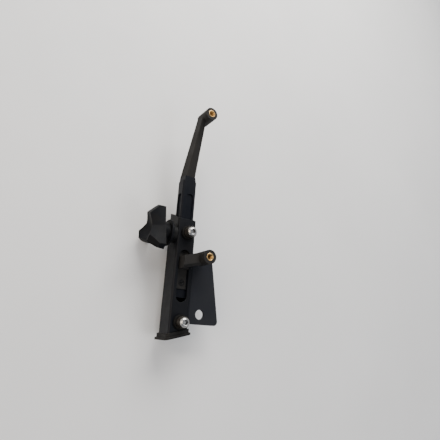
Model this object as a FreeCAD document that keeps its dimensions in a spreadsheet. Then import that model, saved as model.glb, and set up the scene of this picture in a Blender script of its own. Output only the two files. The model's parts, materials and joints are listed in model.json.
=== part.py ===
"""Adjustable support bracket: a slotted outer tube, a slider with two threaded arms, a clamp knob,
a side mounting plate and a rubber foot.

Working axes: X across the tube towards the mounting plate, Y along the tube towards the upper arm,
Z out of the slotted front face. Sizes are written from the point on the front face where the lower
front screw sits; every body is then shifted so that the part's origin is the mounting hole, at the
plate's rear face.
"""
import FreeCAD, Part
import math
import os
import re
import Sketcher

SIZES = {
    # fits shared by several sub-parts
    "press_gap": 0.03, "slip_gap": 0.05, "overcut": 0.2,
    # outer tube
    "tube_width": 22.0, "tube_depth": 25.0, "tube_wall": 2.2, "tube_corner": 2.6,
    "tube_top": 111.4, "tube_top_rise": 10.4, "tube_base": -13.0, "foot_slope": 0.25,
    "slot_width": 13.0, "slot_low": 20.6, "slot_high": 76.7,
    "guide_up": 95.7, "press_hole": 4.2,
    # rubber foot
    "cap_height": 6.2, "cap_grip": 2.0, "cap_lip": 3.5, "cap_lip_thick": 2.2, "cap_floor": 2.0,
    # mounting plate
    "plate_thick": 3.0, "plate_front": -4.0, "plate_base": -1.0, "plate_head": 70.0,
    "plate_reach": 50.4, "plate_reach_head": 37.9, "plate_corner": 4.5, "plate_corner_head": 6.0,
    "leg_back": -22.0, "hole_side": 26.3, "hole_up": 9.7, "hole_radius": 5.3,
    "leg_screw_low": 14.0, "leg_screw_high": 52.0, "leg_screw_depth": -14.5,
    "leg_screw_size": 0.83, "leg_screw_way": 2.6,
    # front screws and what they hold
    "front_side": 1.1, "washer_radius": 8.0, "washer_thick": 3.4, "washer_edge": 0.7,
    "collar_radius": 6.2, "collar_top": 9.6, "collar_edge": 0.5,
    "head_radius": 5.3, "head_rim": 1.0, "head_crown": 3.4, "screw_radius": 2.95, "screw_end": 0.6,
    "screw_way": 3.2, "nut_radius": 4.1, "nut_bore": 3.0, "nut_edge": 0.4,
    "guide_depth": -3.6, "stop_depth": -8.0, "hex_across": 4.0, "hex_deep": 2.0,
    # slider bar
    "bar_width": 17.0, "bar_front": -2.5, "bar_depth": 13.8, "bar_base": 25.5, "bar_top": 158.5,
    "bar_shoulder": 164.0, "bar_edge": 1.4, "bar_step": 1.2,
    "groove_width": 8.6, "groove_depth": 1.4, "groove_high": 143.0, "groove_spare": 0.7,
    "seat_low": 34.3, "seat_high": 80.2, "seat_width": 10.9,
    # upper arm
    "arm_left": -4.9, "arm_right": 6.0, "arm_flare": 2.0, "arm_bevel": 0.12,
    "arm_head_left": -0.3, "arm_head_right": 4.9, "arm_head_back": 3.6, "arm_head_front": 16.4,
    "high_side": 6.6, "high_up": 237.3, "high_root": 3.2, "high_face": 24.2, "boss_radius": 7.5,
    # middle arm
    "mid_side": 18.2, "mid_up": 68.8, "mid_root": 3.6, "mid_face": 23.2, "mid_radius": 7.7,
    "mid_tip_low": 0.6, "mid_tip_high": 10.0, "mid_tip_cut": 3.0,
    "base_width": 10.6, "base_low": 34.5, "base_high": 80.0, "base_thick": 2.95,
    "root_low": 55.5, "root_high": 68.8, "root_top": 10.6, "root_clear": 1.0, "root_cut": 3.0,
    "mid_screw_low": 41.0, "mid_screw_high": 73.6, "mid_head_radius": 3.4, "mid_head_high": 2.0,
    "mid_head_gap": 0.15, "mid_thread": 1.95, "mid_screw_tip": -12.0, "mid_screw_sunk": 0.1,
    "mid_hex": 3.0, "mid_hex_deep": 1.3,
    # threaded inserts
    "insert_radius": 4.3, "insert_bore": 2.5, "insert_long": 12.0, "insert_proud": 0.35,
    "insert_edge": 0.3, "insert_mouth": 0.5,
    # glide block behind the slider
    "glide_width": 17.2, "glide_front": -16.6, "glide_low": 74.0, "glide_high": 115.5,
    "glide_gap": 0.1, "glide_screw_up": 95.7, "glide_screw_radius": 1.95, "glide_screw_way": 2.2,
    "glide_head_radius": 4.0, "glide_head_thick": 2.4, "glide_screw_tip": -18.4,
    "glide_hex": 2.5, "glide_hex_deep": 1.4,
    # clamp
    "clamp_up": 94.2, "clamp_depth": -9.4, "flange_radius": 10.0, "flange_thick": 5.8,
    "flange_edge": 0.8, "spigot_radius": 6.0, "thread_way": 4.03, "stud_radius": 3.95,
    "pad_radius": 3.5, "pad_thick": 2.1, "pad_edge": 0.3, "pad_gap": 0.05,
    "skirt_radius": 14.7, "skirt_thick": 3.0, "hub_radius": 10.5, "hub_edge": 0.8, "hub_gap": 0.4,
    "knob_near": 28.8, "knob_waist": 35.8, "knob_far": 45.5,
    "lobe_radius": 27.6, "lobe_half": 3.6, "lobe_far_half": 2.3, "lobe_far_radius": 17.4,
    "valley_near": 16.0, "valley_far": 8.5, "dish_deep": 8.5, "stud_bed": 5.0, "lobe_tilt": 17.3,
}

doc = FreeCAD.newDocument("SupportBracket")
sheet = doc.addObject("Spreadsheet::Sheet", "Sizes")
for row, (alias, size) in enumerate(SIZES.items(), start=1):
    sheet.set(f"A{row}", alias)
    sheet.set(f"B{row}", str(size))
    sheet.setAlias(f"B{row}", alias)
doc.recompute()

WORD = re.compile(r"\b(" + "|".join(sorted(SIZES, key=len, reverse=True)) + r")\b")
FRONT, SIDE, END = "XY_Plane", "YZ_Plane", "XZ_Plane"
sub_parts = []


def bound(formula):
    """The formula with each alias written as a reference to the sheet."""
    return WORD.sub(r"Sizes.\1", formula)


def value(formula):
    """What the sheet makes of the formula."""
    return float(sheet.evalExpression(formula))


def new_body(label, across="0", along="0", out="0", turn=None):
    """A sub-part, placed at a point of the tube's frame and shifted to the part's origin."""
    body = doc.addObject("PartDesign::Body", label.title().replace("_", ""))
    body.Label = label
    body.Placement = FreeCAD.Placement(FreeCAD.Vector(), turn or FreeCAD.Rotation())
    body.setExpression("Placement.Base.x", bound(f"{across} - hole_side"))
    body.setExpression("Placement.Base.y", bound(f"{along} - hole_up"))
    body.setExpression("Placement.Base.z", bound(f"{out} - (plate_front - plate_thick)"))
    sub_parts.append(body)
    return body


def new_sketch(body, plane, lift="0"):
    """A sketch on one of the body's own origin planes, lifted along the plane's normal."""
    sketch = body.newObject("Sketcher::SketchObject", body.Name + "Sketch")
    origin_plane = [f for f in body.Origin.OriginFeatures if f.Role == plane][0]
    sketch.AttachmentSupport = [(origin_plane, "")]
    sketch.MapMode = "FlatFace"
    sketch.setExpression("AttachmentOffset.Base.z", bound(lift))
    return sketch


def pin(sketch, edge, end, across, along):
    """Fix one point of an edge at two formulas, measured from the sketch's origin."""
    for kind, axis, formula in (("DistanceX", -2, across), ("DistanceY", -1, along)):
        if abs(value(formula)) < 1e-9:
            sketch.addConstraint(Sketcher.Constraint("PointOnObject", edge, end, axis))
            continue
        rule = Sketcher.Constraint(kind, -1, 1, edge, end, value(formula))
        number = sketch.addConstraint(rule)
        sketch.setExpression(f"Constraints[{number}]", bound(formula))


def polygon(sketch, corners):
    """A closed outline of straight edges through corners given as pairs of formulas."""
    points = [FreeCAD.Vector(value(a), value(b), 0) for a, b in corners]
    first = sketch.GeometryCount
    for here, there in zip(points, points[1:] + points[:1]):
        sketch.addGeometry(Part.LineSegment(here, there), False)
    for number, (across, along) in enumerate(corners):
        follower = first + (number + 1) % len(corners)
        sketch.addConstraint(Sketcher.Constraint("Coincident", first + number, 2, follower, 1))
        pin(sketch, first + number, 1, across, along)


def rectangle(sketch, left, right, low, high):
    polygon(sketch, [(left, low), (right, low), (right, high), (left, high)])


def circle(sketch, across, along, radius):
    centre = FreeCAD.Vector(value(across), value(along), 0)
    edge = sketch.addGeometry(Part.Circle(centre, FreeCAD.Vector(0, 0, 1), value(radius)), False)
    pin(sketch, edge, 3, across, along)
    number = sketch.addConstraint(Sketcher.Constraint("Radius", edge, value(radius)))
    sketch.setExpression(f"Constraints[{number}]", bound(radius))


def long_hole(sketch, across, low, high, width, along_x=False):
    """A slot with half-round ends, from low to high, along the sketch's Y axis or its X axis."""
    radius = value(width) / 2
    base = value(low) + radius
    head = value(high) - radius
    mid = value(across)

    def spot(side, length):
        return FreeCAD.Vector(length, side, 0) if along_x else FreeCAD.Vector(side, length, 0)

    start = math.radians(90 if along_x else 180)
    half_turn = math.pi
    upright = FreeCAD.Vector(0, 0, 1)
    low_round = Part.Circle(spot(mid, base), upright, radius)
    high_round = Part.Circle(spot(mid, head), upright, radius)
    low_arc = sketch.addGeometry(Part.ArcOfCircle(low_round, start, start + half_turn), False)
    high_arc = sketch.addGeometry(
        Part.ArcOfCircle(high_round, start + half_turn, start + 2 * half_turn), False)
    side = radius if along_x else -radius
    near = sketch.addGeometry(
        Part.LineSegment(spot(mid + side, head), spot(mid + side, base)), False)
    far = sketch.addGeometry(
        Part.LineSegment(spot(mid - side, base), spot(mid - side, head)), False)
    for one, one_end, other, other_end in ((near, 2, low_arc, 1), (low_arc, 2, far, 1),
                                           (far, 2, high_arc, 1), (high_arc, 2, near, 1)):
        sketch.addConstraint(
            Sketcher.Constraint("Tangent", one, one_end, other, other_end))
    sketch.addConstraint(Sketcher.Constraint("Equal", low_arc, high_arc))
    number = sketch.addConstraint(Sketcher.Constraint("Radius", low_arc, radius))
    sketch.setExpression(f"Constraints[{number}]", bound(f"{width} / 2"))
    for arc, middle in ((low_arc, f"{low} + {width} / 2"), (high_arc, f"{high} - {width} / 2")):
        if along_x:
            pin(sketch, arc, 3, middle, across)
        else:
            pin(sketch, arc, 3, across, middle)


def pad(body, sketch, length, backwards=False):
    feature = body.newObject("PartDesign::Pad", body.Name + "Pad")
    feature.Profile = sketch
    feature.setExpression("Length", bound(length))
    feature.Reversed = backwards
    return feature


def pocket(body, sketch, depth=None, backwards=False):
    """Cut away from the sketch's normal, or along it when backwards; depth None cuts through."""
    doc.recompute()
    before = body.Shape.Volume
    feature = body.newObject("PartDesign::Pocket", body.Name + "Pocket")
    feature.Profile = sketch
    feature.Reversed = backwards
    if depth is None:
        feature.Type = "ThroughAll"
    else:
        feature.setExpression("Length", bound(depth))
    doc.recompute()
    if body.Shape.Volume >= before - 1e-6:
        raise RuntimeError(f"{body.Label}: {feature.Name} removes nothing")
    return feature


def turned(body, profile):
    """A solid of revolution about the body's Z axis, from radius and height formulas."""
    sketch = new_sketch(body, END)
    polygon(sketch, profile)
    feature = body.newObject("PartDesign::Revolution", body.Name + "Turned")
    feature.Profile = sketch
    feature.ReferenceAxis = (sketch, ["V_Axis"])
    feature.Angle = 360
    return feature


def hex_socket(body, across_flats, top, depth):
    """A hexagon socket cut down from the top of a screw head."""
    sketch = new_sketch(body, FRONT, top)
    corners = []
    for number in range(6):
        radius = f"{across_flats} / (2 * cos(30 deg))"
        corners.append((f"{radius} * cos({60 * number} deg)", f"{radius} * sin({60 * number} deg)"))
    polygon(sketch, corners)
    pocket(body, sketch, depth)


def soften(body, kind, size, choose):
    """A fillet or chamfer on the edges of the body's present shape that choose accepts."""
    doc.recompute()
    tip = body.Tip
    names = [f"Edge{n}" for n, edge in enumerate(tip.Shape.Edges, start=1) if choose(edge)]
    if not names:
        raise RuntimeError(f"{body.Label}: no edge to soften")
    feature = body.newObject("PartDesign::" + kind, body.Name + kind)
    feature.Base = (tip, names)
    feature.setExpression("Radius" if kind == "Fillet" else "Size", bound(size))
    doc.recompute()
    return feature


def runs_along(edge, axis, longer=0.0):
    """True for a straight edge parallel to the axis vector and longer than the given length."""
    if not isinstance(edge.Curve, Part.Line) or edge.Length <= longer:
        return False
    return abs(abs(edge.tangentAt(edge.FirstParameter).dot(axis)) - 1) < 1e-6


ALONG = FreeCAD.Vector(0, 1, 0)
OUT = FreeCAD.Vector(0, 0, 1)
ACROSS = FreeCAD.Vector(1, 0, 0)
TURN_TO_REAR = FreeCAD.Rotation(ACROSS, 180)
TURN_TO_PLATE_SIDE = FreeCAD.Rotation(FreeCAD.Vector(0, 1, 0), 90)
TURN_TO_KNOB_SIDE = FreeCAD.Rotation(FreeCAD.Vector(0, 1, 0), -90)


# ---- outer tube ------------------------------------------------------------------------------
def build_outer_tube():
    body = new_body("outer_tube")
    reach = "tube_top + tube_top_rise - tube_base + 10"
    start = "-(tube_base - 10)"
    outline = new_sketch(body, END, start)
    rectangle(outline, "-tube_width / 2", "tube_width / 2", "-tube_depth", "0")
    pad(body, outline, reach, backwards=True)
    soften(body, "Fillet", "tube_corner", lambda edge: runs_along(edge, ALONG, 50))
    bore = new_sketch(body, END, start)
    inner = "tube_width / 2 - tube_wall"
    rectangle(bore, f"-({inner})", inner, "-(tube_depth - tube_wall)", "-tube_wall")
    pocket(body, bore, reach, backwards=False)
    # the mouth is cut on a slant, higher at the rear
    mouth = new_sketch(body, SIDE, "-tube_width")
    high = "tube_top + tube_top_rise * 2"
    polygon(mouth, [("tube_top - tube_top_rise / tube_depth", "1"), (f"{high}", "1"),
                    (f"{high}", "-tube_depth - 1"),
                    ("tube_top + tube_top_rise * (tube_depth + 1) / tube_depth", "-tube_depth - 1")])
    pocket(body, mouth, "tube_width * 2", backwards=True)
    # the foot end is mitred sideways, longer on the knob side
    foot = new_sketch(body, FRONT, "1")
    low = "tube_base - 12"
    polygon(foot, [("-tube_width", "tube_base - foot_slope * tube_width"), ("-tube_width", low),
                   ("tube_width", low), ("tube_width", "tube_base + foot_slope * tube_width")])
    pocket(body, foot, "tube_depth + 2")
    slot = new_sketch(body, FRONT, "0")
    long_hole(slot, "0", "slot_low", "slot_high", "slot_width")
    pocket(body, slot, "tube_wall + overcut")
    holes = new_sketch(body, FRONT, "0")
    circle(holes, "front_side", "0", "press_hole")
    circle(holes, "front_side", "guide_up", "press_hole")
    pocket(body, holes, "tube_wall + overcut")
    rear = new_sketch(body, FRONT, "-tube_depth")
    circle(rear, "0", "glide_screw_up", "glide_screw_way")
    pocket(body, rear, "tube_wall + overcut", backwards=True)
    knob_side = new_sketch(body, SIDE, "-tube_width / 2")
    circle(knob_side, "clamp_up", "clamp_depth", "spigot_radius + slip_gap")
    pocket(body, knob_side, "tube_wall + overcut", backwards=True)
    plate_side = new_sketch(body, SIDE, "tube_width / 2")
    for up in ("leg_screw_low", "leg_screw_high"):
        circle(plate_side, up, "leg_screw_depth", "screw_radius * leg_screw_size + slip_gap")
    pocket(body, plate_side, "tube_wall + overcut")


# ---- rubber foot -----------------------------------------------------------------------------
def foot_band(body, grow, low, high):
    """A slanted slab round the tube's end, grown sideways, between two heights on the centre."""
    reach = f"(tube_width / 2 + {grow})"
    sketch = new_sketch(body, FRONT, f"{grow}")
    polygon(sketch, [(f"-{reach}", f"{low} - foot_slope * {reach}"),
                     (reach, f"{low} + foot_slope * {reach}"),
                     (reach, f"{high} + foot_slope * {reach}"),
                     (f"-{reach}", f"{high} - foot_slope * {reach}")])
    return sketch


def build_end_cap():
    body = new_body("end_cap")
    base = "(tube_base - cap_floor)"
    collar = foot_band(body, "cap_grip", base, f"({base} + cap_height)")
    pad(body, collar, "tube_depth + 2 * cap_grip", backwards=True)
    soften(body, "Fillet", "tube_corner + cap_grip * 0.8",
           lambda edge: runs_along(edge, ALONG, 5) and edge.Length < 12)
    lip = foot_band(body, "cap_lip", base, f"({base} + cap_lip_thick)")
    pad(body, lip, "tube_depth + 2 * cap_lip", backwards=True)
    soften(body, "Fillet", "tube_corner + cap_grip",
           lambda edge: runs_along(edge, ALONG) and edge.Length < value("cap_lip_thick") + 0.1
           and abs(edge.CenterOfMass.x) > value("tube_width / 2 + cap_grip") + 0.5)
    socket = foot_band(body, "slip_gap", "tube_base", "(tube_base + cap_height * 2)")
    pocket(body, socket, "tube_depth + 2 * slip_gap")


# ---- mounting plate --------------------------------------------------------------------------
PLATE_SIDE = "(tube_width / 2 + press_gap)"


def build_mounting_plate():
    body = new_body("mounting_plate")
    near = PLATE_SIDE
    flange = new_sketch(body, FRONT, "plate_front - plate_thick")
    polygon(flange, [(near, "plate_base"), ("plate_reach", "plate_base"),
                     ("plate_reach_head", "plate_head"), (near, "plate_head")])
    pad(body, flange, "plate_thick")
    soften(body, "Fillet", "plate_corner",
           lambda edge: runs_along(edge, OUT) and edge.CenterOfMass.x > 40
           and edge.CenterOfMass.y < 10)
    soften(body, "Fillet", "plate_corner_head",
           lambda edge: runs_along(edge, OUT) and edge.CenterOfMass.x > 30
           and edge.CenterOfMass.y > 50)
    leg = new_sketch(body, FRONT, "plate_front - plate_thick")
    rectangle(leg, near, f"{near} + plate_thick", "plate_base", "plate_head")
    pad(body, leg, "plate_front - plate_thick - leg_back", backwards=True)
    soften(body, "Fillet", "plate_thick * 0.9",
           lambda edge: runs_along(edge, ALONG, 40) and edge.CenterOfMass.z > value("plate_front") - 1
           and edge.CenterOfMass.x < value(near) + 0.1)
    hole = new_sketch(body, FRONT, "plate_front")
    circle(hole, "hole_side", "hole_up", "hole_radius")
    pocket(body, hole, "plate_thick + overcut")
    ways = new_sketch(body, SIDE, f"{near} + plate_thick")
    for up in ("leg_screw_low", "leg_screw_high"):
        circle(ways, up, "leg_screw_depth", "leg_screw_way")
    pocket(body, ways, "plate_thick + overcut")


# ---- turned pieces ---------------------------------------------------------------------------
def build_button_screw(label, up, tip, across, out="collar_top", turn=None, size="1"):
    """A button-head screw standing on its Z axis, its seat at the body's origin."""
    body = new_body(label, across, up, out, turn)
    head = f"head_radius * {size}"
    crown = f"head_crown * {size}"
    rim = f"head_rim * {size}"
    shank = f"screw_radius * {size}"
    turned(body, [("0", tip), (f"{shank} - screw_end", tip), (shank, f"{tip} + screw_end"), (shank, "0"),
                  (head, "0"), (head, rim), (f"{head} * 0.9", f"{crown} * 0.62"),
                  (f"{head} * 0.7", f"{crown} * 0.88"), (f"{head} * 0.48", crown), ("0", crown)])
    hex_socket(body, f"hex_across * {size}", crown, f"hex_deep * {size}")


def build_ring(label, up, outer, bore, low, high, edge):
    """A plain ring with a small chamfer on its outer rim, on the front face's normal."""
    body = new_body(label, "front_side", up)
    turned(body, [(bore, low), (outer, low), (outer, f"{high} - {edge}"),
                  (f"{outer} - {edge}", high), (bore, high)])


def build_front_screws():
    for name, up, depth in (("top", "guide_up", "guide_depth"), ("bottom", "0", "stop_depth")):
        build_ring(f"{name}_washer", up, "washer_radius", "screw_way", "0", "washer_thick",
                   "washer_edge")
        build_ring(f"{name}_collar", up, "collar_radius", "screw_way", "washer_thick",
                   "collar_top", "collar_edge")
        build_button_screw(f"{name}_screw", up, f"{depth} - collar_top + nut_edge",
                           across="front_side")
        body = new_body(f"{name}_nut", "front_side", up)
        turned(body, [("nut_bore", depth), ("nut_radius - nut_edge", depth),
                      ("nut_radius", f"{depth} + nut_edge"), ("nut_radius", "-slip_gap"),
                      ("nut_bore", "-slip_gap")])


def build_plate_screws():
    tip = "-plate_thick - tube_wall + overcut"
    for name, up in (("lower", "leg_screw_low"), ("upper", "leg_screw_high")):
        build_button_screw(f"plate_screw_{name}", up, tip, across=f"{PLATE_SIDE} + plate_thick",
                           out="leg_screw_depth", turn=TURN_TO_PLATE_SIDE, size="leg_screw_size")


# ---- slider ----------------------------------------------------------------------------------
def build_slider_bar():
    body = new_body("slider_bar")
    half = "bar_width / 2"
    back = "bar_front - bar_depth"
    outline = new_sketch(body, END, "-bar_base")
    rectangle(outline, f"-{half}", half, back, "bar_front")
    pad(body, outline, "bar_top - bar_base", backwards=True)
    soften(body, "Chamfer", "bar_edge", lambda edge: runs_along(edge, ALONG, 50))
    # the shoulder narrows to the foot of the upper arm
    wide = new_sketch(body, END, "-bar_top")
    rectangle(wide, f"-({half} - bar_edge)", f"{half} - bar_edge", back, "bar_front")
    narrow = new_sketch(body, END, "-bar_shoulder")
    rectangle(narrow, "arm_left - arm_flare", "arm_right", back, "bar_front")
    shoulder = body.newObject("PartDesign::AdditiveLoft", "Shoulder")
    shoulder.Profile = wide
    shoulder.Sections = [narrow]
    shoulder.Ruled = True
    doc.recompute()
    front_groove = new_sketch(body, FRONT, "bar_front")
    long_hole(front_groove, "front_side", "guide_up - nut_radius - groove_spare", "groove_high",
              "groove_width")
    pocket(body, front_groove, "groove_depth")
    side_groove = new_sketch(body, SIDE, f"-{half}")
    long_hole(side_groove, "clamp_depth", "clamp_up - nut_radius - groove_spare", "groove_high",
              "groove_width", along_x=True)
    pocket(body, side_groove, "groove_depth", backwards=True)
    seat = new_sketch(body, FRONT, "bar_front")
    rectangle(seat, "-seat_width / 2", "seat_width / 2", "seat_low", "seat_high")
    pocket(body, seat, "base_thick + slip_gap")
    step = new_sketch(body, FRONT, "bar_front")
    rectangle(step, f"-{half} - 1", f"{half} + 1", "bar_base - 1", "seat_low + overcut")
    pocket(body, step, "bar_step")
    threads = new_sketch(body, FRONT, "bar_front - base_thick")
    for up in ("mid_screw_low", "mid_screw_high"):
        circle(threads, "0", up, "mid_thread + press_gap")
    pocket(body, threads, "bar_front - base_thick - mid_screw_tip")


def arm_section(body, up, left, right, back, front, flare):
    """A section of the upper arm, flared at the back on the knob side, bevelled in front."""
    sketch = new_sketch(body, END, f"-({up})")
    bevel = f"(({right}) - ({left})) * arm_bevel"
    polygon(sketch, [(f"{left} - {flare}", back), (right, back), (right, f"({front}) - {bevel}"),
                     (f"({right}) - {bevel}", front), (f"({left}) + {bevel}", front),
                     (left, f"({front}) - {bevel}")])
    return sketch


def build_upper_arm():
    body = new_body("upper_arm")
    foot = arm_section(body, "bar_shoulder", "arm_left", "arm_right",
                       "bar_front - bar_depth", "bar_front", "arm_flare")
    head = arm_section(body, "high_up", "arm_head_left", "arm_head_right",
                       "arm_head_back", "arm_head_front", "arm_flare * 0.2")
    arm = body.newObject("PartDesign::AdditiveLoft", "UpperArmLoft")
    arm.Profile = foot
    arm.Sections = [head]
    arm.Ruled = True
    doc.recompute()
    boss = new_sketch(body, FRONT, "high_root")
    circle(boss, "high_side", "high_up", "boss_radius")
    pad(body, boss, "high_face - high_root")
    bore = new_sketch(body, FRONT, "high_face")
    circle(bore, "high_side", "high_up", "insert_radius + press_gap")
    pocket(body, bore, "insert_long + slip_gap")


def build_mid_arm():
    body = new_body("mid_arm")
    half = "base_width / 2"
    base = new_sketch(body, FRONT, "bar_front - base_thick")
    rectangle(base, f"-{half}", half, "base_low", "base_high")
    pad(body, base, "base_thick")
    neck = new_sketch(body, FRONT, "bar_front - overcut")
    rectangle(neck, f"-{half}", half, "root_low", "root_high")
    pad(body, neck, "root_clear + 2 * overcut - bar_front")
    near = new_sketch(body, SIDE, f"-{half}")
    polygon(near, [("root_low", "root_clear"), ("root_high", "root_clear"),
                   ("root_high", "root_top"), ("root_low + root_cut", "root_top"),
                   ("root_low", "root_top - root_cut")])
    far = new_sketch(body, SIDE, "mid_side")
    below, above = "mid_up - mid_radius * 0.9", "mid_up + mid_radius * 0.9"
    polygon(far, [(below, "mid_root + mid_tip_low"), (above, "mid_root + mid_tip_low"),
                  (above, "mid_root + mid_tip_high"),
                  (f"{below} + mid_tip_cut", "mid_root + mid_tip_high"),
                  (below, "mid_root + mid_tip_high - mid_tip_cut")])
    arm = body.newObject("PartDesign::AdditiveLoft", "MidArmLoft")
    arm.Profile = near
    arm.Sections = [far]
    arm.Ruled = True
    doc.recompute()
    boss = new_sketch(body, FRONT, "mid_root")
    circle(boss, "mid_side", "mid_up", "mid_radius")
    pad(body, boss, "mid_face - mid_root")
    bore = new_sketch(body, FRONT, "mid_face")
    circle(bore, "mid_side", "mid_up", "insert_radius + press_gap")
    pocket(body, bore, "insert_long + slip_gap")
    seats = new_sketch(body, FRONT, "bar_front")
    ways = new_sketch(body, FRONT, "bar_front")
    for up in ("mid_screw_low", "mid_screw_high"):
        circle(seats, "0", up, "mid_head_radius + mid_head_gap")
        circle(ways, "0", up, "mid_thread + mid_head_gap")
    pocket(body, seats, "mid_head_high + mid_screw_sunk")
    pocket(body, ways, "base_thick + overcut")


def build_mid_screws():
    for name, up in (("lower", "mid_screw_low"), ("upper", "mid_screw_high")):
        seat = "(bar_front - mid_head_high - mid_screw_sunk)"
        body = new_body(f"mid_screw_{name}", "0", up, seat)
        tip = f"mid_screw_tip - {seat} + overcut"
        head = "mid_head_radius"
        edge = "mid_head_high * 0.2"
        turned(body, [("0", tip), ("mid_thread", tip), ("mid_thread", "0"), (head, "0"),
                      (head, f"mid_head_high - {edge}"), (f"{head} - {edge}", "mid_head_high"),
                      ("0", "mid_head_high")])
        hex_socket(body, "mid_hex", "mid_head_high", "mid_hex_deep")


def build_inserts():
    for label, across, up, face in (("upper_insert", "high_side", "high_up", "high_face"),
                                    ("mid_insert", "mid_side", "mid_up", "mid_face")):
        body = new_body(label, across, up, face)
        turned(body, [("insert_bore", "-insert_long"),
                      ("insert_radius - insert_edge", "-insert_long"),
                      ("insert_radius", "-insert_long + insert_edge"),
                      ("insert_radius", "insert_proud - insert_edge"),
                      ("insert_radius - insert_edge", "insert_proud"),
                      ("insert_bore + insert_mouth", "insert_proud"),
                      ("insert_bore", "insert_proud - insert_mouth")])


# ---- glide block -----------------------------------------------------------------------------
def build_glide():
    body = new_body("glide_block")
    rear = "-(tube_depth - tube_wall) + glide_gap"
    outline = new_sketch(body, END, "-glide_low")
    rectangle(outline, "-glide_width / 2", "glide_width / 2", rear, "glide_front")
    pad(body, outline, "glide_high - glide_low", backwards=True)
    doc.recompute()
    way = new_sketch(body, FRONT, rear)
    circle(way, "0", "glide_screw_up", "glide_screw_radius + press_gap")
    pocket(body, way, f"glide_screw_tip - ({rear}) + overcut", backwards=True)
    screw = new_body("glide_screw", "0", "glide_screw_up", "-tube_depth", TURN_TO_REAR)
    tip = "-(glide_screw_tip + tube_depth)"
    head = "glide_head_radius"
    turned(screw, [("0", tip), ("glide_screw_radius", tip), ("glide_screw_radius", "0"),
                   (head, "0"), (head, "glide_head_thick * 0.5"),
                   (f"{head} * 0.8", "glide_head_thick"), ("0", "glide_head_thick")])
    hex_socket(screw, "glide_hex", "glide_head_thick", "glide_hex_deep")


# ---- clamp -----------------------------------------------------------------------------------
def clamp_body(label, turn=TURN_TO_KNOB_SIDE):
    """A body whose Z axis is the clamp's, pointing away from the tube, measured from the
    tube's middle plane."""
    return new_body(label, "0", "clamp_up", "clamp_depth", turn)


def build_clamp():
    side = "tube_width / 2"
    inside = f"{side} - tube_wall + slip_gap"
    flange_top = f"{side} + flange_thick"
    turned(clamp_body("clamp_boss"),
           [("thread_way", inside), ("spigot_radius", inside), ("spigot_radius", side),
            ("flange_radius", side), ("flange_radius", f"{flange_top} - flange_edge"),
            ("flange_radius - flange_edge", flange_top), ("thread_way", flange_top)])
    face = "bar_width / 2 - groove_depth + pad_gap"
    back = f"{face} + pad_thick"
    turned(clamp_body("clamp_pad"),
           [("0", face), ("pad_radius - pad_edge", face), ("pad_radius", f"{face} + pad_edge"),
            ("pad_radius", back), ("0", back)])
    turned(clamp_body("knob_stud"),
           [("0", back), ("stud_radius - screw_end", back), ("stud_radius", f"{back} + screw_end"),
            ("stud_radius", "knob_near + stud_bed"), ("0", "knob_near + stud_bed")])
    bore = "stud_radius + press_gap"
    skirt_low = f"{flange_top} + hub_gap"
    skirt_top = f"{skirt_low} + skirt_thick"
    turned(clamp_body("knob_hub"),
           [(bore, skirt_low), ("skirt_radius - hub_edge", skirt_low),
            ("skirt_radius", f"{skirt_low} + hub_edge"), ("skirt_radius", f"{skirt_top} - hub_edge"),
            ("skirt_radius - hub_edge", skirt_top), ("hub_radius + hub_edge", skirt_top),
            ("hub_radius", f"{skirt_top} + hub_edge"), ("hub_radius", "knob_near"),
            (bore, "knob_near")])


def lobed_outline(body, lift, half, valley):
    """Three flat-tipped lobes whose straight sides meet at valley from the axis."""
    sketch = new_sketch(body, FRONT, lift)
    corners = []
    for number in range(3):
        along, across = f"cos({120 * number} deg)", f"sin({120 * number} deg)"
        corners.append((f"lobe_radius * {along} + {half} * {across}",
                        f"lobe_radius * {across} - {half} * {along}"))
        corners.append((f"lobe_radius * {along} - {half} * {across}",
                        f"lobe_radius * {across} + {half} * {along}"))
        corners.append((f"{valley} * cos({120 * number + 60} deg)",
                        f"{valley} * sin({120 * number + 60} deg)"))
    polygon(sketch, corners)
    return sketch


def build_knob():
    tilt = math.radians(value("lobe_tilt"))
    lobe_way = FreeCAD.Vector(0, math.cos(tilt), math.sin(tilt))
    outward = FreeCAD.Vector(-1, 0, 0)
    turn = FreeCAD.Rotation(lobe_way, outward.cross(lobe_way), outward, "ZXY")
    body = clamp_body("clamp_knob", turn)
    near = lobed_outline(body, "knob_near", "lobe_half", "valley_near")
    far = lobed_outline(body, "knob_far", "lobe_far_half", "valley_far")
    lobes = body.newObject("PartDesign::AdditiveLoft", "Lobes")
    lobes.Profile = near
    lobes.Sections = [far]
    lobes.Ruled = True
    doc.recompute()
    wedge = new_sketch(body, END, "-lobe_radius")
    polygon(wedge, [("lobe_far_radius", "knob_far"), ("lobe_radius", "knob_waist"),
                    ("lobe_radius + 5", "knob_waist"), ("lobe_radius + 5", "knob_far + 5"),
                    ("lobe_far_radius", "knob_far + 5")])
    cut = pocket(body, wedge, "lobe_radius * 2", backwards=True)
    pattern = body.newObject("PartDesign::PolarPattern", "LobeSlopes")
    pattern.Originals = [cut]
    upright = [f for f in body.Origin.OriginFeatures if f.Role == "Z_Axis"][0]
    pattern.Axis = (upright, [""])
    pattern.Angle = 360
    pattern.Occurrences = 3
    body.Tip = pattern
    doc.recompute()
    dish = new_sketch(body, END)
    polygon(dish, [("0", "knob_far - dish_deep"), ("lobe_far_radius", "knob_far"),
                   ("lobe_far_radius", "knob_far + 2"), ("0", "knob_far + 2")])
    hollow = body.newObject("PartDesign::Groove", "Dish")
    hollow.Profile = dish
    hollow.ReferenceAxis = (dish, ["V_Axis"])
    hollow.Angle = 360
    doc.recompute()
    bed = new_sketch(body, FRONT, "knob_near")
    circle(bed, "0", "0", "stud_radius + press_gap")
    pocket(body, bed, "stud_bed + slip_gap", backwards=True)


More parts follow.
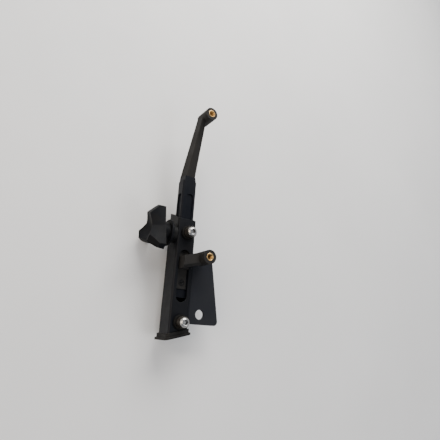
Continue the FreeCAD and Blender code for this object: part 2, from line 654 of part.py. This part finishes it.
build_outer_tube()
build_end_cap()
build_mounting_plate()
build_plate_screws()
build_front_screws()
build_slider_bar()
build_upper_arm()
build_mid_arm()
build_mid_screws()
build_inserts()
build_glide()
build_clamp()
build_knob()
doc.recompute()

for item in doc.Objects:
    if "Invalid" in item.State or "Error" in item.State:
        raise RuntimeError(f"{item.Label} failed: {item.State}")

os.makedirs("parts", exist_ok=True)
for sub_part in sub_parts:
    shape = sub_part.Shape
    if shape.isNull() or not shape.isValid():
        raise RuntimeError(f"{sub_part.Label}: no valid shape")
    print(sub_part.Label, len(shape.Solids), round(shape.Volume, 1), shape.BoundBox)
    shape.exportStep(f"parts/{sub_part.Label}.step")
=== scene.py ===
"""Looks of the adjustable support bracket: finishes, rounded edges, threads, floor, light, camera.

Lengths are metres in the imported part's frame: +X from the tube to the mounting plate, +Y along
the tube to the upper arm, +Z out of the slotted front face.
"""
import json
import math

import bmesh
import bpy
from mathutils import Matrix, Vector


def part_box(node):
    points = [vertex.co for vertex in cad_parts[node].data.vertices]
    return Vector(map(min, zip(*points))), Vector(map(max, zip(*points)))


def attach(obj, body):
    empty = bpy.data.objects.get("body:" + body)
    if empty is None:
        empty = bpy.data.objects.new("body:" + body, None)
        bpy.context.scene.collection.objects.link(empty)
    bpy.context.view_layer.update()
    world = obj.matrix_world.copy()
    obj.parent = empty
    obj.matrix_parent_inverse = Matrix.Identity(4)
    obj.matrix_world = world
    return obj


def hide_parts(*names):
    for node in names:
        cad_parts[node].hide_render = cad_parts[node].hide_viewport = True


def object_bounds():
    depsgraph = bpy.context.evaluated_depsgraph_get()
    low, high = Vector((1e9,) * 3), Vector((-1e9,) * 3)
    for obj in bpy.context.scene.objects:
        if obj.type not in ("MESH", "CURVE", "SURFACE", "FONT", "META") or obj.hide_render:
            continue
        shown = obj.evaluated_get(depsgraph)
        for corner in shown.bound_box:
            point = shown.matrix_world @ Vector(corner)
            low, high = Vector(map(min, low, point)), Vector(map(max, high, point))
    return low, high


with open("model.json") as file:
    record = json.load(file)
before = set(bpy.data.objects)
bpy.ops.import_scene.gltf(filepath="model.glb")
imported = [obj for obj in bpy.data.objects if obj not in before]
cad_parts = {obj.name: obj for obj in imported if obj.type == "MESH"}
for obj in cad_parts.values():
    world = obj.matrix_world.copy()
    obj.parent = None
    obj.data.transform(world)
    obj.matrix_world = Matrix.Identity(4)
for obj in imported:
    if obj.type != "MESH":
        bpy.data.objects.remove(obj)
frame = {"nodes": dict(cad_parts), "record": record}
CAD_LOW, CAD_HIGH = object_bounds()
NODES = frame["nodes"]
SLOT_OF = {part["node"]: part["material_slot"] for part in frame["record"]["subparts"]}

MM = 0.001
TURN = 2 * math.pi
ALONG_TUBE = Vector((0, 1, 0))

# ---- camera: places in metres, sensor and lens in millimetres ----------------------------------
CAMERA_AT = Vector((-0.2151, -0.0190, 0.3703))
AIM_AT = Vector((-0.0172, 0.0917, 0.0592))
CAMERA_ROLL = math.radians(-3.63)
SENSOR_WIDTH = 36.0
LENS = 31.09
CLIP_NEAR = 0.01
CLIP_FAR = 50

# ---- light: each softbox's name, place, size, watts and colour ---------------------------------
SKY_COLOUR = (0.82, 0.89, 1.0, 1.0)
SKY_STRENGTH = 0.45
SOFTBOXES = (
    ("window", (0.05, 0.95, 0.66), (1.0, 0.6), 19, (1.0, 0.985, 0.96)),
    ("warm_fill", (-1.5, 0.1, 0.9), (1.3, 1.3), 19, (1.0, 0.87, 0.72)),
    ("low_fill", (0.9, -0.7, 1.5), (0.9, 0.9), 10, (0.97, 0.97, 1.0)),
)

# ---- floor -------------------------------------------------------------------------------------
FLOOR_HALF = 4.0
FLOOR_DROP = 0.15 * MM

# ---- threads and stacked spacers ---------------------------------------------------------------
INSERT_PITCH = 1.0 * MM
INSERT_MINOR = 2.5 * MM
INSERT_MAJOR = 2.95 * MM
STUD_PITCH = 1.25 * MM
STUD_MAJOR = 3.95 * MM
STUD_MINOR = 3.25 * MM
# Share of half a pitch that is flat at a thread's root and again at its crest.
THREAD_FLAT = 0.12
ROWS_PER_PITCH = 10
AROUND = 72
SPACER_RINGS = 3
SPACER_EDGE = 0.28 * MM
SPACER_BORE = 3.25 * MM
# Points round a ring's rim, in spacer edges: inwards from its side, then inwards from its end face.
RIM_LOW = ((1.6, 0.0), (0.4, 0.5), (0.0, 1.4))
RIM_HIGH = ((0.0, 1.4), (0.4, 0.5), (1.6, 0.1))

# Spacing of the rings a turning tool leaves.
TOOL_PITCH = 0.22 * MM

# Colour of the shade painted into a screw's hex socket, and the radii it lies between.
SOCKET_SHADE = ((0.03, 0.027, 0.024), 1.85 * MM, 2.3 * MM)
# Colour of the shade painted into an insert's threaded bore, and how far it reaches: over most of the
# upper face.
THREAD_SHADE = (0.27, 0.135, 0.035)
THREAD_SHADE_REACH = {"upper_insert": 3.6 * MM, "mid_insert": 2.75 * MM, "clamp_pad": 2.75 * MM}

# Strength of the black finishes' reflections: matt blacks trap part of the light.
COAT_GLOSS = 0.13

# Rounding of each CAD node's sharp edges, in millimetres; the nodes not listed get the small one.
EDGE_ROUNDING = {
    "outer_tube": 0.22, "slider_bar": 0.25, "mounting_plate": 0.3, "end_cap": 0.5,
    "upper_arm": 0.45, "mid_arm": 0.35, "clamp_knob": 0.7, "knob_hub": 0.35,
    "clamp_boss": 0.25, "top_washer": 0.35, "bottom_washer": 0.35,
    "glide_block": 0.3, "clamp_pad": 0.15,
}
SMALL_ROUNDING = 0.1
# Only edges sharper than this are rounded, and faces flatter than this are merged first.
SHARPER_THAN = math.radians(26)
FLAT_WITHIN = math.radians(0.6)
# Nodes whose flat faces aren't merged: merging folds the slider's faces over each other.
UNMERGED = ("slider_bar",)


# ---- material graphs ---------------------------------------------------------------------------
class Finish:
    """A material's node tree round one Principled shader, with short calls for its nodes."""

    def __init__(self, name):
        self.material = bpy.data.materials.new(name)
        self.material.use_nodes = True
        self.tree = self.material.node_tree
        self.tree.nodes.clear()
        self.shader = self.add("ShaderNodeBsdfPrincipled")
        output = self.add("ShaderNodeOutputMaterial")
        self.tree.links.new(self.shader.outputs[0], output.inputs[0])
        self.place = self.add("ShaderNodeTexCoord").outputs["Object"]

    def add(self, kind, **settings):
        node = self.tree.nodes.new(kind)
        for name, value in settings.items():
            setattr(node, name, value)
        return node

    def feed(self, socket, value):
        """Link a socket, or set it to a number, vector or colour."""
        if isinstance(value, bpy.types.NodeSocket):
            self.tree.links.new(value, socket)
        elif socket.type == "RGBA" and len(value) == 3:
            socket.default_value = (*value, 1.0)
        else:
            socket.default_value = value

    def scaled(self, stretch):
        """The object's own coordinates, stretched by a factor on each axis."""
        node = self.add("ShaderNodeMapping")
        self.feed(node.inputs["Vector"], self.place)
        node.inputs["Scale"].default_value = stretch
        return node.outputs[0]

    def noise(self, scale, detail=3.0, rough=0.55, stretch=(1, 1, 1)):
        node = self.add("ShaderNodeTexNoise")
        self.feed(node.inputs["Vector"], self.scaled(stretch))
        node.inputs["Scale"].default_value = scale
        node.inputs["Detail"].default_value = detail
        node.inputs["Roughness"].default_value = rough
        return node.outputs["Fac"]

    def cells(self, scale, stretch=(1, 1, 1)):
        """Distance to the nearest of a field of scattered points."""
        node = self.add("ShaderNodeTexVoronoi")
        self.feed(node.inputs["Vector"], self.scaled(stretch))
        node.inputs["Scale"].default_value = scale
        return node.outputs["Distance"]

    def combine(self, operation, first, second=0.0):
        """Arithmetic on one or two values."""
        node = self.add("ShaderNodeMath", operation=operation)
        self.feed(node.inputs[0], first)
        self.feed(node.inputs[1], second)
        return node.outputs[0]

    def spread(self, value, low, high, to_low=0.0, to_high=1.0):
        """Map low..high to to_low..to_high, clamped."""
        node = self.add("ShaderNodeMapRange")
        self.feed(node.inputs["Value"], value)
        node.inputs["From Min"].default_value = low
        node.inputs["From Max"].default_value = high
        node.inputs["To Min"].default_value = to_low
        node.inputs["To Max"].default_value = to_high
        return node.outputs[0]

    def blend(self, share, first, second):
        node = self.add("ShaderNodeMix", data_type="RGBA")
        self.feed(node.inputs[0], share)
        self.feed(node.inputs[6], first)
        self.feed(node.inputs[7], second)
        return node.outputs[2]

    def bump(self, height, depth, under=None):
        """Raise the surface by depth metres where height is 1, over an optional lower bump."""
        node = self.add("ShaderNodeBump")
        self.feed(node.inputs["Height"], height)
        node.inputs["Strength"].default_value = 1.0
        node.inputs["Distance"].default_value = depth
        if under is not None:
            self.feed(node.inputs["Normal"], under)
        return node.outputs[0]

    def edges(self, radius):
        """1 on edges sharper than the rounding radius, 0 on open faces."""
        bevel = self.add("ShaderNodeBevel", samples=4)
        bevel.inputs["Radius"].default_value = radius
        plain = self.add("ShaderNodeNewGeometry").outputs["Normal"]
        node = self.add("ShaderNodeVectorMath", operation="DOT_PRODUCT")
        self.feed(node.inputs[0], bevel.outputs[0])
        self.feed(node.inputs[1], plain)
        return self.spread(node.outputs["Value"], 0.995, 0.86)

    def reach(self, centre, axis):
        """Distance from an axis along X, Y or Z through a point."""
        shift = self.add("ShaderNodeVectorMath", operation="SUBTRACT")
        self.feed(shift.inputs[0], self.place)
        shift.inputs[1].default_value = centre
        across = self.add("ShaderNodeVectorMath", operation="MULTIPLY")
        self.feed(across.inputs[0], shift.outputs[0])
        across.inputs[1].default_value = tuple(1 - abs(part) for part in axis)
        length = self.add("ShaderNodeVectorMath", operation="LENGTH")
        self.feed(length.inputs[0], across.outputs[0])
        return length.outputs["Value"]

    def surface(self, colour, rough, metallic=0.0, normal=None, gloss=0.5):
        self.feed(self.shader.inputs["Base Color"], colour)
        self.feed(self.shader.inputs["Roughness"], rough)
        self.shader.inputs["Metallic"].default_value = metallic
        self.shader.inputs["Specular IOR Level"].default_value = gloss
        if normal is not None:
            self.feed(self.shader.inputs["Normal"], normal)
        return self.material


def coated(name, colour, warm, rough, grain, depth, stretch=(1, 1, 1), rubbed=0.5,
           bare=(0.09, 0.09, 0.092), gloss=COAT_GLOSS):
    """Black coated metal: mottled colour, fine grain, hairlines and rubbed edges."""
    look = Finish(name)
    mottled = look.spread(look.noise(38, 4), 0.35, 0.68)
    base = look.blend(mottled, colour, warm)
    dust = look.spread(look.noise(420, 5, 0.7), 0.62, 0.8, 0.0, 0.1)
    base = look.blend(dust, base, (0.09, 0.087, 0.083))
    patchy = look.spread(look.noise(230, 4, 0.65), 0.42, 0.7)
    worn = look.combine("MULTIPLY", look.edges(0.45 * MM), look.combine("MULTIPLY", patchy, rubbed))
    base = look.blend(worn, base, bare)
    uneven = look.spread(look.noise(90, 4, 0.6), 0.3, 0.7, rough - 0.06, rough + 0.07)
    hair = look.spread(look.noise(1500, 2, 0.5, (1.0, 0.035, 1.0)), 0.66, 0.74, 0.0, 0.12)
    smoothed = look.combine("SUBTRACT", uneven, hair)
    final_rough = look.combine("SUBTRACT", smoothed, look.combine("MULTIPLY", worn, 0.2))
    fine = look.bump(look.noise(grain, 3, 0.6, stretch), depth)
    waves = look.bump(look.noise(160, 2), depth * 1.6, fine)
    return look.surface(base, final_rough, 0.0, waves, gloss)


def moulded(name, colour, light, rough, grain, depth, scuff=0.25, dusty=0.12, gloss=COAT_GLOSS):
    """Moulded plastic or rubber: eroded-mould grain, scattered dust specks and scuffed edges."""
    look = Finish(name)
    mottled = look.spread(look.noise(55, 4), 0.38, 0.66)
    base = look.blend(mottled, colour, light)
    specks = look.spread(look.noise(900, 3, 0.75), 0.64, 0.82, 0.0, dusty)
    base = look.blend(specks, base, (0.1, 0.094, 0.085))
    patchy = look.spread(look.noise(310, 3, 0.6), 0.4, 0.66)
    worn = look.combine("MULTIPLY", look.edges(0.6 * MM), look.combine("MULTIPLY", patchy, scuff))
    base = look.blend(worn, base, (0.11, 0.1, 0.09))
    uneven = look.spread(look.noise(120, 4, 0.6), 0.3, 0.7, rough - 0.07, rough + 0.06)
    pebbles = look.bump(look.spread(look.cells(grain), 0.0, 0.75), depth)
    ripple = look.bump(look.noise(240, 3), depth * 1.5, pebbles)
    return look.surface(base, uneven, 0.0, ripple, gloss)


def turned_metal(name, colour, shade, rough, centre, axis, recess_shade=None):
    """Bright lathe-turned metal with tool rings and smudges. Shade painted into a recess is given as a
    colour and the two radii it lies between, as in the corners of a socket."""
    look = Finish(name)
    smudge = look.spread(look.noise(260, 4, 0.6), 0.4, 0.7, 0.0, 0.3)
    base = look.blend(smudge, colour, shade)
    reach = look.reach(centre, axis)
    if recess_shade is not None:
        shade_colour, inner, outer = recess_shade
        soft = 0.25 * MM
        inside = look.spread(reach, inner - soft, inner)
        shade_band = look.combine("MULTIPLY", inside, look.spread(reach, outer + soft, outer))
        # Painted shade: the base colour is darkened towards the shade colour between the two radii.
        base = look.blend(look.combine("MULTIPLY", shade_band, 0.85), base, shade_colour)
    uneven = look.spread(look.noise(700, 4, 0.6), 0.3, 0.7, rough - 0.06, rough + 0.1)
    wave = look.combine("SINE", look.combine("MULTIPLY", reach, TURN / TOOL_PITCH))
    rings = look.bump(wave, 0.004 * MM)
    nicks = look.bump(look.spread(look.noise(1300, 3, 0.7), 0.3, 0.42), 0.012 * MM, rings)
    return look.surface(base, uneven, 1.0, nicks)


def middle(node):
    low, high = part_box(node)
    return (low + high) / 2


def stainless(node, axis):
    return turned_metal(f"stainless_{node}", (0.47, 0.455, 0.435), (0.27, 0.25, 0.225), 0.24,
                        middle(node), axis, SOCKET_SHADE)


def brass(node, axis):
    return turned_metal(f"brass_{node}", (0.58, 0.385, 0.17), (0.32, 0.19, 0.075), 0.3,
                        middle(node), axis, (THREAD_SHADE, 0.0, THREAD_SHADE_REACH[node]))


def plain_steel(node, axis):
    return turned_metal(f"plain_steel_{node}", (0.4, 0.4, 0.4), (0.24, 0.235, 0.23), 0.32,
                        middle(node), axis)


TURNED = {"stainless": stainless, "brass": brass, "plain_steel": plain_steel}
ALONG_CLAMP = ("knob_stud", "plate_screw_lower", "plate_screw_upper")


def make_shared_finishes():
    """One material for each coated or moulded slot of the record."""
    return {
        "tube_anodised": coated("tube_anodised", (0.003, 0.0036, 0.0054), (0.005, 0.005, 0.0058),
                                0.44, 1100, 0.010 * MM, (1.0, 0.03, 1.0), rubbed=0.3),
        "slider_anodised": coated("slider_anodised", (0.003, 0.0037, 0.0062), (0.0046, 0.0052, 0.0074),
                                  0.4, 1300, 0.008 * MM, (1.0, 0.02, 1.0), rubbed=0.35, gloss=0.09),
        "arm_cast": coated("arm_cast", (0.0158, 0.015, 0.0142), (0.02, 0.0187, 0.0176),
                           0.55, 1900, 0.03 * MM, rubbed=0.3, gloss=0.08),
        "plate_coat": coated("plate_coat", (0.0108, 0.0117, 0.015), (0.0138, 0.0142, 0.0168),
                             0.5, 1500, 0.022 * MM, rubbed=0.3),
        "black_steel": coated("black_steel", (0.007, 0.007, 0.0075), (0.0105, 0.01, 0.0095),
                              0.55, 1200, 0.008 * MM, rubbed=0.8, bare=(0.13, 0.13, 0.135),
                              gloss=0.08),
        "foot_rubber": moulded("foot_rubber", (0.0075, 0.0071, 0.0067), (0.011, 0.0102, 0.0095),
                               0.62, 2600, 0.02 * MM, dusty=0.16),
        "washer_rubber": moulded("washer_rubber", (0.005, 0.0048, 0.0045), (0.0075, 0.007, 0.0063),
                                 0.6, 2400, 0.012 * MM, gloss=0.08),
        "collar_plastic": moulded("collar_plastic", (0.0085, 0.0068, 0.0048), (0.014, 0.0105, 0.007),
                                  0.34, 3000, 0.006 * MM, gloss=0.25),
        "glide_plastic": moulded("glide_plastic", (0.012, 0.012, 0.013), (0.017, 0.0165, 0.016),
                                 0.45, 2200, 0.01 * MM),
        "knob_plastic": moulded("knob_plastic", (0.0046, 0.0052, 0.0068), (0.0072, 0.007, 0.0072),
                                0.52, 2300, 0.02 * MM, scuff=0.35, gloss=0.06),
    }


# ---- rounding the CAD nodes --------------------------------------------------------------------
def make_weld_group():
    """Geometry nodes that join the imported faces and shade them smooth."""
    group = bpy.data.node_groups.new("weld_and_smooth", "GeometryNodeTree")
    group.interface.new_socket("Geometry", in_out="INPUT", socket_type="NodeSocketGeometry")
    group.interface.new_socket("Geometry", in_out="OUTPUT", socket_type="NodeSocketGeometry")
    start = group.nodes.new("NodeGroupInput")
    bare = group.nodes.new("GeometryNodeRemoveAttribute")
    bare.inputs["Name"].default_value = "custom_normal"
    weld = group.nodes.new("GeometryNodeMergeByDistance")
    weld.inputs["Distance"].default_value = 0.002 * MM
    smooth = group.nodes.new("GeometryNodeSetShadeSmooth")
    end = group.nodes.new("NodeGroupOutput")
    for source, target in ((start, bare), (bare, weld), (weld, smooth), (smooth, end)):
        group.links.new(source.outputs[0], target.inputs[0])
    return group


def round_edges(piece, weld, width):
    """Weld, merge flat faces, round the sharp edges and even out the shading."""
    joined = piece.modifiers.new("weld", "NODES")
    joined.node_group = weld
    if piece.name not in UNMERGED:
        flat = piece.modifiers.new("flat", "DECIMATE")
        flat.decimate_type = "DISSOLVE"
        flat.angle_limit = FLAT_WITHIN
    bevel = piece.modifiers.new("round", "BEVEL")
    bevel.width = width
    bevel.segments = 3 if width > 0.2 * MM else 2
    bevel.limit_method = "ANGLE"
    bevel.angle_limit = SHARPER_THAN
    bevel.miter_outer = "MITER_ARC"
    shading = piece.modifiers.new("shading", "WEIGHTED_NORMAL")
    shading.keep_sharp = True
    shading.weight = 60


def dress_cad_nodes(shared):
    weld = make_weld_group()
    for name, node in NODES.items():
        slot = SLOT_OF[name]
        axis = (1, 0, 0) if name in ALONG_CLAMP else (0, 0, 1)
        material = TURNED[slot](name, axis) if slot in TURNED else shared[slot]
        node.data.materials.clear()
        node.data.materials.append(material)
        round_edges(node, weld, EDGE_ROUNDING.get(name, SMALL_ROUNDING) * MM)


# ---- turned pieces with threads and rings ------------------------------------------------------
def turned_mesh(name, rows, place, loop):
    """A mesh of revolution. A row is (radius, height), and a radius may be a function of turns
    round the axis. With loop the last row joins the first; otherwise both ends are filled."""
    mesh = bmesh.new()
    rings = []
    for radius, height in rows:
        ring = []
        for step in range(AROUND):
            turns = step / AROUND
            reach = radius(turns) if callable(radius) else radius
            point = Vector((reach * math.cos(TURN * turns), reach * math.sin(TURN * turns), height))
            ring.append(mesh.verts.new(place @ point))
        rings.append(ring)
    pairs = list(zip(rings, rings[1:]))
    if loop:
        pairs.append((rings[-1], rings[0]))
    else:
        mesh.faces.new(rings[0])
        mesh.faces.new(rings[-1])
    for lower, upper in pairs:
        for step in range(AROUND):
            after = (step + 1) % AROUND
            mesh.faces.new((lower[step], lower[after], upper[after], upper[step]))
    bmesh.ops.recalc_face_normals(mesh, faces=mesh.faces)
    data = bpy.data.meshes.new(name)
    mesh.to_mesh(data)
    mesh.free()
    for face in data.polygons:
        face.use_smooth = True
    piece = bpy.data.objects.new(name, data)
    bpy.context.scene.collection.objects.link(piece)
    return piece


def thread_radius(minor, major, pitch, height):
    """The radius of a thread's flank at a height, as a function of turns round the axis."""
    def radius(turns):
        along = (height / pitch - turns) % 1.0
        ridge = 1 - abs(2 * along - 1)
        return minor + (major - minor) * min(max((ridge - THREAD_FLAT) / (1 - 2 * THREAD_FLAT), 0.0), 1.0)
    return radius


def thread_rows(minor, major, pitch, low, high):
    count = max(2, round((high - low) / pitch * ROWS_PER_PITCH))
    rows = []
    for number in range(count + 1):
        height = low + (high - low) * number / count
        rows.append((thread_radius(minor, major, pitch, height), height))
    return rows


def add_piece(piece, node, body):
    """Give a piece its node's finish and body, and put it in the node's place."""
    piece.data.materials.append(NODES[node].data.materials[0])
    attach(piece, body)
    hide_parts(node)
    shading = piece.modifiers.new("shading", "WEIGHTED_NORMAL")
    shading.keep_sharp = True


def make_threaded_insert(node, body):
    """A brass insert with its thread cut in the bore."""
    low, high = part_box(node)
    centre = middle(node)
    place = Matrix.Translation((centre.x, centre.y, high.z))
    depth = high.z - low.z
    outer = (high.x - low.x) / 2
    rim = 0.3 * MM
    mouth = 0.5 * MM
    rows = [(outer - rim, 0.0), (outer, -rim), (outer, -depth + rim), (outer - rim, -depth),
            (INSERT_MAJOR, -depth)]
    rows += thread_rows(INSERT_MINOR, INSERT_MAJOR, INSERT_PITCH, -depth + 0.1 * MM, -mouth)
    rows += [(INSERT_MAJOR + 0.02 * MM, -mouth * 0.8), (INSERT_MAJOR + 0.25 * MM, -mouth * 0.3),
             (INSERT_MAJOR + 0.45 * MM, 0.0)]
    piece = turned_mesh(f"{node}_threaded", rows, place, loop=True)
    add_piece(piece, node, body)


def make_threaded_stud():
    """The clamp's stud, turned with its thread along the clamp's axis."""
    low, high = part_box("knob_stud")
    centre = middle("knob_stud")
    long = high.x - low.x
    to_clamp = Matrix.Rotation(-math.pi / 2, 4, "Y")
    place = Matrix.Translation((high.x, centre.y, centre.z)) @ to_clamp
    end = 0.6 * MM
    rows = [(0.4 * STUD_MINOR, 0.0), (STUD_MINOR - 0.1 * MM, 0.0), (STUD_MINOR, end)]
    rows += thread_rows(STUD_MINOR, STUD_MAJOR, STUD_PITCH, end * 1.4, long - end)
    rows += [(STUD_MINOR, long)]
    piece = turned_mesh("knob_stud_threaded", rows, place, loop=False)
    add_piece(piece, "knob_stud", "knob")


def make_spacer_stack(node):
    """The spacer under a screw head, as a stack of rings with rounded rims."""
    low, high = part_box(node)
    centre = middle(node)
    outer = (high.x - low.x) / 2
    rows = [(SPACER_BORE, low.z)]
    tall = (high.z - low.z) / SPACER_RINGS
    for number in range(SPACER_RINGS):
        base = low.z + tall * number
        top = base + tall
        rows += [(outer - SPACER_EDGE * side, base + SPACER_EDGE * up) for side, up in RIM_LOW]
        rows += [(outer - SPACER_EDGE * side, top - SPACER_EDGE * down) for side, down in RIM_HIGH]
    rows.append((SPACER_BORE, high.z))
    place = Matrix.Translation((centre.x, centre.y, 0))
    piece = turned_mesh(f"{node}_rings", rows, place, loop=True)
    add_piece(piece, node, "frame")


# ---- floor, light and camera -------------------------------------------------------------------
def make_floor():
    look = Finish("pale_table")
    cloud = look.spread(look.noise(5, 3), 0.3, 0.7)
    tone = look.blend(cloud, (0.73, 0.72, 0.705), (0.77, 0.76, 0.745))
    rough = look.spread(look.noise(60, 3), 0.3, 0.7, 0.55, 0.65)
    grain = look.bump(look.noise(900, 3), 0.01 * MM)
    mesh = bpy.data.meshes.new("floor")
    half = FLOOR_HALF
    level = CAD_LOW.z - FLOOR_DROP
    corners = [(-half, -half, level), (half, -half, level), (half, half, level), (-half, half, level)]
    mesh.from_pydata(corners, [], [(0, 1, 2, 3)])
    mesh.materials.append(look.surface(tone, rough, 0.0, grain))
    floor = bpy.data.objects.new("floor", mesh)
    bpy.context.scene.collection.objects.link(floor)


def aim(thing, at, target, roll=0.0):
    """Place a camera or light and point it, its up side nearest +Y before the roll."""
    forward = (target - at).normalized()
    up = (ALONG_TUBE - forward * forward.dot(ALONG_TUBE)).normalized()
    right = forward.cross(up)
    up = up * math.cos(roll) + right * math.sin(roll)
    right = forward.cross(up)
    turn = Matrix((right, up, -forward)).transposed().to_4x4()
    thing.matrix_world = Matrix.Translation(at) @ turn


def add_softbox(name, at, target, size, watts, colour):
    lamp = bpy.data.lights.new(name, "AREA")
    lamp.shape = "RECTANGLE"
    lamp.size, lamp.size_y = size
    lamp.energy = watts
    lamp.color = colour
    holder = bpy.data.objects.new(name, lamp)
    bpy.context.scene.collection.objects.link(holder)
    aim(holder, Vector(at), Vector(target))


def make_light():
    world = bpy.data.worlds.new("room")
    world.use_nodes = True
    sky = world.node_tree.nodes["Background"]
    sky.inputs["Color"].default_value = SKY_COLOUR
    sky.inputs["Strength"].default_value = SKY_STRENGTH
    bpy.context.scene.world = world
    heart = (CAD_LOW + CAD_HIGH) / 2
    for name, place, size, watts, colour in SOFTBOXES:
        add_softbox(name, place, heart, size, watts, colour)


def make_camera():
    camera = bpy.data.cameras.new("camera")
    camera.sensor_width = SENSOR_WIDTH
    camera.lens = LENS
    camera.clip_start = CLIP_NEAR
    camera.clip_end = CLIP_FAR
    holder = bpy.data.objects.new("camera", camera)
    bpy.context.scene.collection.objects.link(holder)
    aim(holder, CAMERA_AT, AIM_AT, CAMERA_ROLL)
    bpy.context.scene.camera = holder


make_camera()
dress_cad_nodes(make_shared_finishes())
make_threaded_insert("upper_insert", "slider")
make_threaded_insert("mid_insert", "slider")
make_threaded_stud()
make_spacer_stack("top_collar")
make_spacer_stack("bottom_collar")
make_floor()
make_light()
